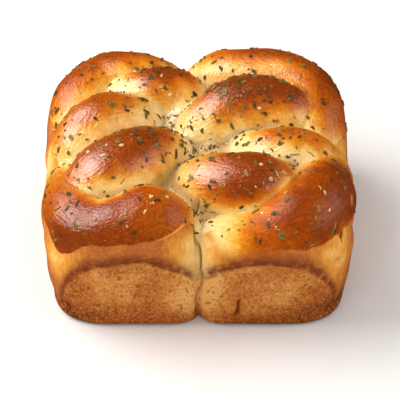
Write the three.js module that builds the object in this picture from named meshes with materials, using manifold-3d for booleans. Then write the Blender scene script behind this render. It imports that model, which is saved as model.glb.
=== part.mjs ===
// A plaited dinner roll: a square block of soft bread, about 110 mm across and 56 mm tall.
// Four round lobes were baked side by side in a small tin, under a plait of thick dough
// strands, and the top is strewn with dried herb flakes.
// Millimetres, Z up. The front faces -Y, and the flat undersides of the lobes lie on Z = 0.

import * as THREE from 'three';
import { mergeVertices } from 'three/addons/utils/BufferGeometryUtils.js';
import Module from 'manifold-3d';

const wasm = await Module();
wasm.setup();

// The tin that squared the sides: half its width at the floor, how far its walls lean out
// for each millimetre of height, and the height from which the dough swells over its rim.
const TIN_HALF_WIDTH = 50.8;
const TIN_LEAN = 0.12;
const TIN_RIM_HEIGHT = 22;
const TIN_SWELL = 0.02;
const TIN_FOOT_RADIUS = 3.5;
const TIN_CORNER_RADIUS = 16;

// Each lobe is a plump cushion, square seen from above and rounder seen from the side:
// its middle and its half sizes. The core joins them under the plait.
const PLAN_SQUARENESS = 5;
const SIDE_SQUARENESS = 3;
const LOBES = [
  { middle: [-26, -26, 14], half: [29, 29, 26] },
  { middle: [26, -26, 14], half: [29, 29, 26] },
  { middle: [-26, 26, 14], half: [29, 29, 26] },
  { middle: [25, 26, 14], half: [28.4, 29, 26] },
];
const CORE = { middle: [0, 0, 21], half: [47, 47, 20.5] };

// Each strand of the plait runs through a few stations: x, y, z and its radius there.
const STRANDS = {
  frontLeft: [
    [-41, -1, 26.5, 8.5], [-43.5, -18, 34.5, 9.5], [-43.5, -30.5, 36, 10.5], [-40, -41, 37, 11],
    [-32.5, -46, 37.5, 11.5], [-24, -45.5, 39, 12.5], [-17, -43.5, 40, 13], [-11, -42, 35.5, 12],
    [-4.5, -40, 24.5, 11],
  ],
  frontRight: [
    [41.5, 8, 27, 9], [42, -7, 32, 10.5], [42, -27, 37.5, 12.5], [36.5, -39.5, 38, 13.5],
    [28.5, -43.5, 34.5, 13], [19.5, -44.5, 31, 12.5], [9.5, -44.5, 29.5, 11.5], [4.5, -39, 23.5, 11],
  ],
  midLeft: [
    [-35.5, -25, 40.5, 12], [-31, -21.5, 43, 13], [-22.5, -14.5, 43, 13], [-14, -6, 40.5, 10.5],
    [-6, 0, 33, 8.5],
  ],
  centreFront: [
    [-3.5, -17.5, 34, 9], [3.5, -23, 40, 11.5], [11.5, -26.5, 42, 12.5], [20, -27, 41.5, 13],
    [27.5, -25.5, 38, 11.5], [32.5, -20.5, 32, 9],
  ],
  backLeftOval: [
    [-44, -0.5, 30, 9.5], [-41.5, 2.5, 37, 11], [-36, 8.5, 41, 12], [-29.5, 12.5, 41, 12],
    [-22, 15.5, 38, 10.5], [-15, 17.5, 31, 9],
  ],
  midRight: [
    [12.5, 5.5, 31, 9], [17.5, -0.5, 36, 9.5], [25, -6, 39.5, 11], [33.5, -6, 40, 11],
    [41.5, -7, 37, 10], [45.5, -8, 32, 8],
  ],
  centreBack: [
    [-3, 10, 33, 10], [4, 11, 40, 11.5], [13, 16.5, 43, 13], [22, 18.5, 43, 13],
    [30, 17, 41, 12], [34.5, 15, 35, 10.5],
  ],
  backCross: [
    [-31, 31.5, 34, 8], [-24.5, 30, 39, 10.5], [-16.5, 28, 41, 12], [-9, 28.5, 40, 12],
    [-5, 24.5, 37.5, 11], [-6.5, 16, 33, 10],
  ],
  backLeft: [
    [-42.5, 8, 29, 10], [-42.5, 20.5, 34, 11], [-40.5, 31.5, 37, 12], [-33.5, 39.5, 38, 12.5],
    [-25.5, 40, 39, 12.5], [-17.5, 41, 37, 12], [-9.5, 42.5, 31, 11],
  ],
  backRight: [
    [1.5, 44.5, 31, 11], [8.5, 43, 37, 12.5], [16.5, 41, 39, 13], [26.5, 39, 40, 13],
    [35.5, 33.5, 39, 13.5], [40, 22.5, 38, 12.5], [40, 12, 34, 12], [40, 6, 27, 11],
  ],
};
const BALLS_PER_STATION = 10;

// How softly the dough runs together: strand into strand, lobe into lobe, strands onto
// the lobes, all of it onto the core, and everything against the tin.
const STRAND_SOFTNESS = 1.2;
const LOBE_SOFTNESS = 1;
const SHOULDER_SOFTNESS = 8;
const CORE_SOFTNESS = 2;
const TIN_SOFTNESS = 1.5;

// The surface is reached along rays that fan out of a flat plate inside the bread,
// straight up at its middle and tilted further and further towards its rim.
const PLATE_HALF_WIDTH = 38;
const PLATE_HEIGHT = 20;
const RIM_TILT = THREE.MathUtils.degToRad(165);
const TILT_POWER = 2.2;
const GRID_EASE = 0.8;
const TOP_SHARE = 0.7;
const TOP_CELLS = 48;
const SIDE_CELLS = 11;

// A ray is followed inwards from far outside the bread in steps, then halved down to the skin.
const FAR = 110;
const RAY_STEP = 2;
const HALVINGS = 16;

// Grid points that stand off a flat by less than this are dropped.
const FLATNESS = 0.07;

// Brings the middle of the block over the origin.
const MIDDLE_SHIFT = [0.1, 1, 0];

// The dried herbs that show from a step away.
const FLAKES = 120;
const FLAKE_SEED = 20260;
const FLAKE_LENGTH = [2.2, 3.6];
const FLAKE_SLENDERNESS = [0.38, 0.62];
const FLAKE_STANDS_PROUD = 0.55;
const FLAKE_SUNK = 0.9;
const FLAKE_SPACING = 4.2;
const FLAKE_REACH = 0.61;
const NUDGE = 0.004;

/** Balls strung along one strand's smooth centre line, swelling and thinning with it. */
function strandBalls(stations) {
  const line = new THREE.CatmullRomCurve3(
    stations.map(([x, y, z]) => new THREE.Vector3(x, y, z)), false, 'catmullrom', 0.5);
  const girth = new THREE.CatmullRomCurve3(
    stations.map((station) => new THREE.Vector3(station[3], 0, 0)), false, 'catmullrom', 0.5);
  const count = (stations.length - 1) * BALLS_PER_STATION;
  const balls = [];
  for (let i = 0; i <= count; i += 1) {
    balls.push({ middle: line.getPoint(i / count), radius: girth.getPoint(i / count).x });
  }
  return balls;
}

const strands = Object.values(STRANDS).map(strandBalls);

/** How far along a ray a strand's outermost ball surface lies. */
function strandReach(balls, origin, direction) {
  let far = -FAR;
  const toMiddle = new THREE.Vector3();
  for (const { middle, radius } of balls) {
    toMiddle.subVectors(middle, origin);
    const along = toMiddle.dot(direction);
    const rest = radius * radius - toMiddle.lengthSq() + along * along;
    if (rest > 0) far = Math.max(far, along + Math.sqrt(rest));
  }
  return far;
}

/** The outermost crossing of a ray with a closed form, marched inwards, then halved down. */
function outermost(isInside, origin, direction) {
  const point = new THREE.Vector3();
  const at = (t) => isInside(point.copy(direction).multiplyScalar(t).add(origin));
  for (let t = FAR; t > 0; t -= RAY_STEP) {
    if (!at(t)) continue;
    let inner = t;
    let outer = t + RAY_STEP;
    for (let i = 0; i < HALVINGS; i += 1) {
      const middle = (inner + outer) / 2;
      if (at(middle)) inner = middle;
      else outer = middle;
    }
    return inner;
  }
  return -FAR;
}

/** Inside a lobe: the powers of its scaled plan and height, summed, stay under one. */
function insideLobe({ middle, half }, p) {
  const plan = Math.abs((p.x - middle[0]) / half[0]) ** PLAN_SQUARENESS
    + Math.abs((p.y - middle[1]) / half[1]) ** PLAN_SQUARENESS;
  const rise = Math.abs((p.z - middle[2]) / half[2]) ** SIDE_SQUARENESS;
  return plan ** (SIDE_SQUARENESS / PLAN_SQUARENESS) + rise < 1;
}

/** Inside the tin: a square with round corners that leans out, swells and has a round foot. */
function insideTin(p) {
  const swell = TIN_SWELL * Math.max(p.z - TIN_RIM_HEIGHT, 0) ** 2;
  const foot = TIN_FOOT_RADIUS - Math.min(Math.max(p.z, 0), TIN_FOOT_RADIUS);
  const footInset = TIN_FOOT_RADIUS - Math.sqrt(TIN_FOOT_RADIUS ** 2 - foot ** 2);
  const half = TIN_HALF_WIDTH + TIN_LEAN * p.z + swell - footInset;
  const pastX = Math.max(Math.abs(p.x) - half + TIN_CORNER_RADIUS, 0);
  const pastY = Math.max(Math.abs(p.y) - half + TIN_CORNER_RADIUS, 0);
  return Math.hypot(pastX, pastY) < TIN_CORNER_RADIUS && p.z > 0;
}

/** The larger of two lengths, with the corner between them rounded over a width. */
function softLarger(a, b, width) {
  const share = THREE.MathUtils.clamp(0.5 + 0.5 * (a - b) / width, 0, 1);
  return b + (a - b) * share + width * share * (1 - share);
}

/** How far along a ray the bread's skin lies. */
function skinReach(origin, direction) {
  const reaches = strands.map((balls) => strandReach(balls, origin, direction)).sort((a, b) => b - a);
  let skin = reaches[0];
  for (let i = 1; i < 4; i += 1) skin = softLarger(skin, reaches[i], STRAND_SOFTNESS);
  const lobeReach = (lobe) => outermost((p) => insideLobe(lobe, p), origin, direction);
  const lobes = LOBES.map(lobeReach).reduce((joined, lobe) => softLarger(joined, lobe, LOBE_SOFTNESS));
  skin = softLarger(skin, lobes, SHOULDER_SOFTNESS);
  skin = softLarger(skin, lobeReach(CORE), CORE_SOFTNESS);
  const tin = outermost(insideTin, origin, direction);
  return -softLarger(-skin, -tin, TIN_SOFTNESS);
}

/** The skin point over a place (u, v) on the plate, each from -1 to 1. */
function skinPoint(u, v) {
  const rim = Math.max(Math.abs(u), Math.abs(v));
  const tilt = RIM_TILT * rim ** TILT_POWER;
  const outX = rim > 0 ? u / rim : 0;
  const outY = rim > 0 ? v / rim : 0;
  const lean = Math.sin(tilt);
  const direction = new THREE.Vector3(outX * lean, outY * lean, Math.cos(tilt)).normalize();
  const origin = new THREE.Vector3(u * PLATE_HALF_WIDTH, v * PLATE_HALF_WIDTH, PLATE_HEIGHT);
  return direction.multiplyScalar(skinReach(origin, direction)).add(origin);
}

/** The skin point for a place on a cube from -1 to 1: lid to plait, walls to sides, floor to underside. */
function doughPoint(x, y, z) {
  const ring = Math.max(Math.abs(x), Math.abs(y));
  if (z > -1 || ring === 1) {
    const spread = z === 1 ? TOP_SHARE * ring : TOP_SHARE + (1 - TOP_SHARE) * (1 - z) / 2;
    const scale = ring > 0 ? spread ** GRID_EASE / ring : 0;
    return skinPoint(x * scale, y * scale);
  }
  if (ring === 0) return new THREE.Vector3(0, 0, 0);
  const rim = skinPoint(x / ring, y / ring);
  return new THREE.Vector3(rim.x * ring, rim.y * ring, rim.z * ring ** 6);
}

/** A closed mesh as a solid for joining. */
function solidOf(geometry) {
  const bare = geometry.clone();
  bare.deleteAttribute('normal');
  bare.deleteAttribute('uv');
  const merged = mergeVertices(bare, 1e-4);
  return new wasm.Manifold(new wasm.Mesh({
    numProp: 3,
    vertProperties: new Float32Array(merged.attributes.position.array),
    triVerts: new Uint32Array(merged.index.array),
  }));
}

/** The bread: a cube's grid carried out to the skin. */
function breadSolid() {
  const block = new THREE.BoxGeometry(2, 2, 2, TOP_CELLS, TOP_CELLS, SIDE_CELLS);
  const place = block.attributes.position;
  const known = new Map();
  for (let i = 0; i < place.count; i += 1) {
    const corner = [place.getX(i), place.getY(i), place.getZ(i)].map((value) => Number(value.toFixed(5)));
    const key = corner.join(' ');
    if (!known.has(key)) known.set(key, doughPoint(...corner));
    const p = known.get(key);
    place.setXYZ(i, p.x, p.y, Math.abs(p.z) < 0.01 ? 0 : p.z);
  }
  return solidOf(block).simplify(FLATNESS);
}

/** Even draws between 0 and 1 from a seed. */
function seededDraws(seed) {
  let state = seed;
  return () => {
    state = (state * 16807) % 2147483647;
    return state / 2147483647;
  };
}

/** One herb flake: a thin bevelled plate of five or six sides, pressed into the crust. */
function flakeSolid(draw, frame) {
  const length = THREE.MathUtils.lerp(...FLAKE_LENGTH, draw());
  const width = length * THREE.MathUtils.lerp(...FLAKE_SLENDERNESS, draw());
  const sides = draw() < 0.5 ? 5 : 6;
  const thickness = FLAKE_STANDS_PROUD + FLAKE_SUNK;
  const plate = new THREE.CylinderGeometry(0.36, 0.5, thickness, sides);
  plate.scale(length, 1, width);
  plate.translate(0, FLAKE_STANDS_PROUD - thickness / 2, 0);
  plate.applyMatrix4(frame);
  return solidOf(plate);
}

/** A place on the skin with its long axis turned about the way out of the crust. */
function skinFrame(u, v, turn) {
  const across = skinPoint(u + NUDGE, v).sub(skinPoint(u - NUDGE, v)).normalize();
  const along = skinPoint(u, v + NUDGE).sub(skinPoint(u, v - NUDGE));
  const out = new THREE.Vector3().crossVectors(across, along).normalize();
  const side = new THREE.Vector3().crossVectors(out, across);
  const long = across.multiplyScalar(Math.cos(turn)).addScaledVector(side, Math.sin(turn));
  const short = new THREE.Vector3().crossVectors(long, out);
  return new THREE.Matrix4().makeBasis(long, out, short).setPosition(skinPoint(u, v));
}

/** Flakes strewn by seeded draws over the top, none closer to another than the spacing. */
function flakeSolids() {
  const draw = seededDraws(FLAKE_SEED);
  const places = [];
  const flakes = [];
  while (flakes.length < FLAKES) {
    const u = FLAKE_REACH * (2 * draw() - 1);
    const v = FLAKE_REACH * (2 * draw() - 1);
    const turn = 2 * Math.PI * draw();
    const place = skinPoint(u, v);
    if (places.some((other) => other.distanceTo(place) < FLAKE_SPACING)) continue;
    places.push(place);
    flakes.push(flakeSolid(draw, skinFrame(u, v, turn)));
  }
  return flakes;
}

/** Bread and flakes as one solid, without loose scraps. */
function rollSolid() {
  const joined = wasm.Manifold.union([breadSolid(), ...flakeSolids()]);
  const bodies = joined.decompose().sort((a, b) => b.volume() - a.volume());
  return bodies[0];
}

/** The crust's mesh for the model. */
function rollMesh() {
  const { vertProperties, triVerts } = rollSolid().getMesh();
  const geometry = new THREE.BufferGeometry();
  geometry.setAttribute('position', new THREE.BufferAttribute(vertProperties, 3));
  geometry.setIndex(new THREE.BufferAttribute(triVerts, 1));
  geometry.translate(...MIDDLE_SHIFT);
  geometry.computeVertexNormals();
  const crust = new THREE.MeshStandardMaterial({ color: 0xb86a28, roughness: 0.45, metalness: 0 });
  const mesh = new THREE.Mesh(geometry, crust);
  mesh.name = 'roll';
  return mesh;
}

const roll = new THREE.Group();
roll.add(rollMesh());

export default roll;
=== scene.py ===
from math import cos, pi, radians, sin

import bpy
import numpy as np
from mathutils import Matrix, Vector


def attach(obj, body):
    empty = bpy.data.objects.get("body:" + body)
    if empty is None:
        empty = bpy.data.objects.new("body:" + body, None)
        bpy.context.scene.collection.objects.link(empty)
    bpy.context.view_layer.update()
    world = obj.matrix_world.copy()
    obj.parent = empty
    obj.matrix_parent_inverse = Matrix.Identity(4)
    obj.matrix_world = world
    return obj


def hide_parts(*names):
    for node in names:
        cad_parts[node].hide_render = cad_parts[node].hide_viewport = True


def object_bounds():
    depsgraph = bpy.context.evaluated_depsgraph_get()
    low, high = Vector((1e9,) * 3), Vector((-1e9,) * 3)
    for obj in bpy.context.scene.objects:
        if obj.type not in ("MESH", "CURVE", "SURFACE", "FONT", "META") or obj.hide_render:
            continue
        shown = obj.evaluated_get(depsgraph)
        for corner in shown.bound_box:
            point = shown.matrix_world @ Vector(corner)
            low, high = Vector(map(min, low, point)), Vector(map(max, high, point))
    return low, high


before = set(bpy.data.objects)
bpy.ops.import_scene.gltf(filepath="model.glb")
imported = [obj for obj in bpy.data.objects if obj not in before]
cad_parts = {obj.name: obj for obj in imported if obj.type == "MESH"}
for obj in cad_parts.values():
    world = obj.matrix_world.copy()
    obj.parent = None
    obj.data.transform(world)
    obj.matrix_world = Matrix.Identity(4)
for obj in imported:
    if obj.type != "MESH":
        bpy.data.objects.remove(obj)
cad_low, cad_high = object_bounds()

# ------------------------ The camera
# It stands in front of the roll and looks down on the plait from well above the table,
# far enough away that the back of the roll looks almost as wide as the front.

CAMERA_RISE = radians(36.5)
CAMERA_DISTANCE = 1.17
CAMERA_AIM = Vector((0.0006, -0.0052, 0.0218))
CAMERA_LENS = 299.0

camera_data = bpy.data.cameras.new("camera")
camera_data.lens = CAMERA_LENS
camera_data.sensor_width = 36.0
camera_data.clip_end = 20.0
camera = bpy.data.objects.new("camera", camera_data)
bpy.context.scene.collection.objects.link(camera)
towards_camera = Vector((0.0, -cos(CAMERA_RISE), sin(CAMERA_RISE)))
camera.location = CAMERA_AIM + CAMERA_DISTANCE * towards_camera
camera.rotation_euler = (-towards_camera).to_track_quat("-Z", "Y").to_euler()
bpy.context.scene.camera = camera

# ------------------------ The bread
# One piece of soft enriched dough: four lobes pressed together in a small square tin, under
# a plait of thick strands. The plait stood above the tin, so it browned under an egg glaze,
# while the sides baked flat and dull against the metal.

MM = 0.001

# Stations of each strand in millimetres: x, y, z, its radius, and how dark its crest baked.
STRANDS = {
    "front left": [
        (-41, -1, 26.5, 8.5, 0.1), (-43.5, -18, 34.5, 9.5, 0.3), (-43.5, -30.5, 36, 10.5, 0.74),
        (-40, -41, 37, 11, 0.94), (-32.5, -46, 37.5, 11.5, 0.98), (-24, -45.5, 39, 12.5, 0.95),
        (-17, -43.5, 40, 13, 0.88), (-11, -42, 35.5, 12, 0.68), (-4.5, -40, 24.5, 11, 0.1)],
    "front right": [
        (41.5, 8, 27, 9, 0.55), (42, -7, 32, 10.5, 0.85), (42, -27, 37.5, 12.5, 1.0),
        (36.5, -39.5, 38, 13.5, 0.98), (28.5, -43.5, 34.5, 13, 0.92), (19.5, -44.5, 31, 12.5, 0.8),
        (9.5, -44.5, 29.5, 11.5, 0.1), (4.5, -39, 23.5, 11, 0.0)],
    "middle left": [
        (-35.5, -25, 40.5, 12, 0.62), (-31, -21.5, 43, 13, 0.92), (-22.5, -14.5, 43, 13, 0.97),
        (-14, -6, 40.5, 10.5, 0.75), (-6, 0, 33, 8.5, 0.2)],
    "centre front": [
        (-3.5, -17.5, 34, 9, 0.05), (3.5, -23, 40, 11.5, 0.4), (11.5, -26.5, 42, 12.5, 0.92),
        (20, -27, 41.5, 13, 1.0), (27.5, -25.5, 38, 11.5, 0.72), (32.5, -20.5, 32, 9, 0.3)],
    "back left oval": [
        (-44, -0.5, 30, 9.5, 0.1), (-41.5, 2.5, 37, 11, 0.5), (-36, 8.5, 41, 12, 0.8),
        (-29.5, 12.5, 41, 12, 0.78), (-22, 15.5, 38, 10.5, 0.5), (-15, 17.5, 31, 9, 0.15)],
    "middle right": [
        (12.5, 5.5, 31, 9, 0.1), (17.5, -0.5, 36, 9.5, 0.35), (25, -6, 39.5, 11, 0.8),
        (33.5, -6, 40, 11, 0.82), (41.5, -7, 37, 10, 0.45), (45.5, -8, 32, 8, 0.3)],
    "centre back": [
        (-3, 10, 33, 10, 0.1), (4, 11, 40, 11.5, 0.5), (13, 16.5, 43, 13, 1.0),
        (22, 18.5, 43, 13, 1.08), (30, 17, 41, 12, 1.0), (34.5, 15, 35, 10.5, 0.6)],
    "back cross": [
        (-31, 31.5, 34, 8, 0.2), (-24.5, 30, 39, 10.5, 0.45), (-16.5, 28, 41, 12, 0.96),
        (-9, 28.5, 40, 12, 1.0), (-5, 24.5, 37.5, 11, 0.7), (-6.5, 16, 33, 10, 0.15)],
    "back left": [
        (-42.5, 8, 29, 10, 0.0), (-42.5, 20.5, 34, 11, 0.45), (-40.5, 31.5, 37, 12, 0.84),
        (-33.5, 39.5, 38, 12.5, 0.9), (-25.5, 40, 39, 12.5, 0.88), (-17.5, 41, 37, 12, 0.62),
        (-9.5, 42.5, 31, 11, 0.3)],
    "back right": [
        (1.5, 44.5, 31, 11, 0.15), (8.5, 43, 37, 12.5, 0.5), (16.5, 41, 39, 13, 0.88),
        (26.5, 39, 40, 13, 0.85), (35.5, 33.5, 39, 13.5, 0.95), (40, 22.5, 38, 12.5, 0.92),
        (40, 12, 34, 12, 0.6), (40, 6, 27, 11, 0.2)],
}
BALLS_PER_STATION = 10

# How far the browning ran down each strand's two flanks, in millimetres of standing out (first
# the flank on the left of its run, then the one on the right), and how shiny its glaze dried at
# its first and last stations.
FLANKS = {
    "front left": (-3.2, 1.0, 1.0, 0.1), "front right": (-0.6, -0.4, 0.95, -0.6),
    "middle left": (1.0, -0.4, 1.0, 0.4), "centre front": (0.6, 1.6, 0.95, 0.7),
    "back left oval": (0.4, -1.6, 0.9, 0.7), "middle right": (0.2, -2.0, 0.5, 0.8),
    "centre back": (1.6, -0.4, 0.9, 1.0), "back cross": (0.4, -1.2, 0.9, 0.7),
    "back left": (0.2, -1.6, 0.4, 0.45), "back right": (0.8, -2.6, 0.3, 0.6),
}

# Each lobe: its middle and half sizes. It is squarer in plan than from the side.
PLAN_SQUARENESS = 5
SIDE_SQUARENESS = 3
LOBES = [
    ((-26, -26, 14), (29, 29, 26)), ((26, -26, 14), (29, 29, 26)),
    ((-26, 26, 14), (29, 29, 26)), ((25, 26, 14), (28.4, 29, 26)),
]
CORE = ((0, 0, 21), (47, 47, 20.5))

TIN_HALF_WIDTH = 50.8
TIN_LEAN = 0.12
TIN_RIM_HEIGHT = 22
TIN_SWELL = 0.02
TIN_FOOT_RADIUS = 3.5
TIN_CORNER_RADIUS = 16

STRAND_SOFTNESS = 1.2
LOBE_SOFTNESS = 1.0
SHOULDER_SOFTNESS = 8.0
CORE_SOFTNESS = 2.0
TIN_SOFTNESS = 1.5

PLATE_HALF_WIDTH = 38.0
PLATE_HEIGHT = 20.0
RIM_TILT = radians(165)
TILT_POWER = 2.2
GRID_EASE = 0.72
GRID_POINTS = 299
FAR = 110.0
RAY_STEP = 2.0
HALVINGS = 14
NONE = -1000.0

# The solid's middle stands over the origin.
MIDDLE_SHIFT = np.array((0.1, 1.0, 0.0))


def smooth_line(stations):
    """Catmull-Rom line: each stretch is a cubic through its two stations, with the slopes taken
    from their neighbours, and every column of the stations is carried along it."""
    known = np.array(stations, float)
    known = np.vstack([2 * known[0] - known[1], known, 2 * known[-1] - known[-2]])
    stretches = []
    for i in range(1, len(known) - 2):
        last = i == len(known) - 3
        t = np.linspace(0, 1, BALLS_PER_STATION + last, endpoint=last)[:, None]
        a, b, c, d = known[i - 1:i + 3]
        stretches.append(0.5 * (2 * b + (c - a) * t + (2 * a - 5 * b + 4 * c - d) * t ** 2
                                + (3 * b - a - 3 * c + d) * t ** 3))
    return np.vstack(stretches)


def strand_reach(balls, origins, directions):
    """The outermost crossing of each ray with a string of balls: the foot of the ball's middle
    on the ray plus the half chord, sqrt(r^2 - distance^2), where the ray meets it."""
    far = np.full(len(origins), NONE)
    for x, y, z, radius in balls[:, :4]:
        to_middle = np.array((x, y, z)) - origins
        along = (to_middle * directions).sum(1)
        rest = radius ** 2 - (to_middle ** 2).sum(1) + along ** 2
        reach = along + np.sqrt(np.maximum(rest, 0))
        far = np.where(rest > 0, np.maximum(far, reach), far)
    return far


def outermost(is_inside, origins, directions):
    """The outermost place of each ray that lies inside a form: marched inwards in steps from
    far outside, then halved down between the last two steps."""
    inner = np.zeros(len(origins))
    outer = np.zeros(len(origins))
    found = np.zeros(len(origins), bool)
    for t in np.arange(FAR, 0, -RAY_STEP):
        fresh = is_inside(origins + directions * t) & ~found
        inner[fresh] = t
        outer[fresh] = t + RAY_STEP
        found |= fresh
    for _ in range(HALVINGS):
        middle = (inner + outer) / 2
        within = is_inside(origins + directions * middle[:, None])
        inner = np.where(within, middle, inner)
        outer = np.where(within, outer, middle)
    return np.where(found, inner, NONE)


def inside_lobe(middle, half):
    """Inside a lobe: |x/a|^5 + |y/b|^5 to the power 3/5, plus |z/c|^3, stays under one."""
    def test(p):
        across = np.abs((p - np.array(middle)) / np.array(half))
        plan = across[:, 0] ** PLAN_SQUARENESS + across[:, 1] ** PLAN_SQUARENESS
        return plan ** (SIDE_SQUARENESS / PLAN_SQUARENESS) + across[:, 2] ** SIDE_SQUARENESS < 1
    return test


def inside_tin(p):
    """Inside the tin: a square with round corners and a round foot, whose half width is
    half + lean z + swell (z - rim)^2 above the rim."""
    z = p[:, 2]
    swell = TIN_SWELL * np.maximum(z - TIN_RIM_HEIGHT, 0) ** 2
    foot = TIN_FOOT_RADIUS - np.clip(z, 0, TIN_FOOT_RADIUS)
    inset = TIN_FOOT_RADIUS - np.sqrt(TIN_FOOT_RADIUS ** 2 - foot ** 2)
    half = TIN_HALF_WIDTH + TIN_LEAN * z + swell - inset
    past = np.maximum(np.abs(p[:, :2]) - half[:, None] + TIN_CORNER_RADIUS, 0)
    return (np.hypot(past[:, 0], past[:, 1]) < TIN_CORNER_RADIUS) & (z > 0)


def soft_larger(a, b, width):
    """The larger of two lengths, its corner rounded: b + (a - b) s + w s (1 - s), where the
    share s runs from 0 to 1 as a passes b."""
    share = np.clip(0.5 + 0.5 * (a - b) / width, 0, 1)
    return b + (a - b) * share + width * share * (1 - share)


def smooth_step(value, start, end):
    """0 before start, 1 after end, and t^2 (3 - 2t) between them. With the start above the end
    it is 1 for low values and 0 for high ones."""
    t = np.clip((value - start) / (end - start), 0, 1)
    return t * t * (3 - 2 * t)


def skin(across, back):
    """The bread's skin over a square of places from -1 to 1: rays leave a flat plate, tilted by
    165 degrees times m^2.2, m being the larger of the two, and end on the outermost dough.
    Gives the points, and for each point the strand that lies outermost there."""
    rim = np.maximum(np.abs(across), np.abs(back))
    tilt = RIM_TILT * rim ** TILT_POWER
    out = np.stack([across, back], -1) / np.maximum(rim, 1e-6)[:, None]
    directions = np.column_stack([out * np.sin(tilt)[:, None], np.cos(tilt)])
    directions /= np.linalg.norm(directions, axis=1, keepdims=True)
    height = np.full(len(across), PLATE_HEIGHT)
    origins = np.column_stack([PLATE_HALF_WIDTH * across, PLATE_HALF_WIDTH * back, height])
    reaches = np.array([strand_reach(balls, origins, directions) for balls in strand_lines])
    ranked = np.sort(reaches, axis=0)[::-1]
    reach = ranked[0]
    for other in ranked[1:4]:
        reach = soft_larger(reach, other, STRAND_SOFTNESS)
    lobes = outermost(inside_lobe(*LOBES[0]), origins, directions)
    for middle, half in LOBES[1:]:
        lobe = outermost(inside_lobe(middle, half), origins, directions)
        lobes = soft_larger(lobes, lobe, LOBE_SOFTNESS)
    reach = soft_larger(reach, lobes, SHOULDER_SOFTNESS)
    core = outermost(inside_lobe(*CORE), origins, directions)
    reach = soft_larger(reach, core, CORE_SOFTNESS)
    tin = outermost(inside_tin, origins, directions)
    reach = -soft_larger(-reach, -tin, TIN_SOFTNESS)
    return origins + directions * reach[:, None], reaches.argmax(0)


def outward(points):
    """Unit normals of a square grid of points: the cross product of its two slopes."""
    normal = np.cross(np.gradient(points, axis=1), np.gradient(points, axis=0))
    return normal / np.maximum(np.linalg.norm(normal, axis=-1, keepdims=True), 1e-9)


def spread(values, cells):
    """Three box averages over a square grid, each 2 cells + 1 wide both ways, which together
    are close to a bell-shaped average."""
    width = 2 * cells + 1
    for _ in range(3):
        for axis in (0, 1):
            edges = [(cells + 1, cells) if k == axis else (0, 0) for k in range(values.ndim)]
            total = np.cumsum(np.pad(values, edges, mode="edge"), axis=axis)
            ahead = np.take(total, range(width, total.shape[axis]), axis=axis)
            behind = np.take(total, range(total.shape[axis] - width), axis=axis)
            values = (ahead - behind) / width
    return values


def lumps(points, size, seed, waves=14):
    """Smooth lumps about size millimetres across, from -1 to 1: a sum of sine waves in random
    directions and phases, squeezed by tanh."""
    draws = np.random.default_rng(seed)
    heading = draws.normal(size=(waves, 3))
    heading /= np.linalg.norm(heading, axis=1, keepdims=True)
    pitch = 2 * pi / size * draws.uniform(0.6, 1.3, waves)
    phase = draws.uniform(0, 2 * pi, waves)
    return np.tanh(np.sin(points @ (heading * pitch[:, None]).T + phase).sum(-1) / np.sqrt(waves))


strand_lines = [smooth_line(stations) for stations in STRANDS.values()]

steps = np.linspace(-1, 1, GRID_POINTS)
grid_back, grid_across = np.meshgrid(steps, steps, indexing="ij")
ring = np.maximum(np.abs(grid_across), np.abs(grid_back))
ease = ring ** GRID_EASE / np.maximum(ring, 1e-6)
plate_across, plate_back = grid_across * ease, grid_back * ease
dough, strand_of = skin(plate_across.ravel(), plate_back.ravel())
dough = dough.reshape(GRID_POINTS, GRID_POINTS, 3)
strand_of = strand_of.reshape(GRID_POINTS, GRID_POINTS)
facing = outward(dough)
height = dough[..., 2]

# Where round the roll a point lies, in millimetres from the middle of the front and growing
# towards the right: 110 on each side, measured where the point would fall on a 110 mm square.
SIDE = 110.0


def round_the_roll(points):
    """The front runs from -55 to 55 as x / |y|, the right from 55 to 165 as y / |x|, and so on."""
    x, y = points[..., 0], points[..., 1]
    flat_x = x / np.maximum(np.abs(y), 1e-6)
    flat_y = y / np.maximum(np.abs(x), 1e-6)
    side = np.where(x > 0, 2 + flat_y, -2 - flat_y)
    end = np.where(y < 0, flat_x, np.where(x > 0, 4 - flat_x, -4 - flat_x))
    return SIDE / 2 * np.where(np.abs(y) >= np.abs(x), end, side)


lap = round_the_roll(dough)

# How the strand runs under each point: the way along it and round it in millimetres, how dark
# its crest baked, how far the browning ran down that flank, and how shiny the glaze dried. The
# last three are spread a little, so that no step shows between two strands.
STRAND_APART = 200.0
FLANK_TURN = 0.7

along_strand, round_strand, crest_bake, flank_bake, shine = np.zeros((5, *height.shape))
for index, (name, line) in enumerate(zip(STRANDS, strand_lines)):
    own = strand_of == index
    points = dough[own]
    gaps = ((points[:, None] - line[None, :, :3]) ** 2).sum(-1) - line[None, :, 3] ** 2
    nearest = gaps.argmin(1)
    heading = np.gradient(line[:, :3], axis=0)
    lengths = np.linalg.norm(heading, axis=1)
    heading /= lengths[:, None]
    travelled = np.cumsum(lengths)
    head = heading[nearest]
    offset = points - line[nearest, :3]
    past = (offset * head).sum(1)
    upright = np.array((0, 0, 1.0)) - head * head[:, 2:3]
    upright /= np.linalg.norm(upright, axis=1, keepdims=True)
    sideways = np.cross(head, upright)
    turn = np.arctan2((offset * sideways).sum(1), (offset * upright).sum(1))
    along_strand[own] = travelled[nearest] + past + STRAND_APART * index
    round_strand[own] = turn * line[nearest, 3]
    crest_bake[own] = line[nearest, 4]
    left_flank, right_flank, first_shine, last_shine = FLANKS[name]
    to_right = smooth_step(turn, -FLANK_TURN, FLANK_TURN)
    flank_bake[own] = left_flank + (right_flank - left_flank) * to_right
    on_line = nearest / (len(line) - 1)
    shine[own] = np.maximum(first_shine + (last_shine - first_shine) * on_line, 0)
crest_bake = spread(crest_bake, 3)
flank_bake = spread(flank_bake, 2)
shine = spread(shine, 4)

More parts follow.
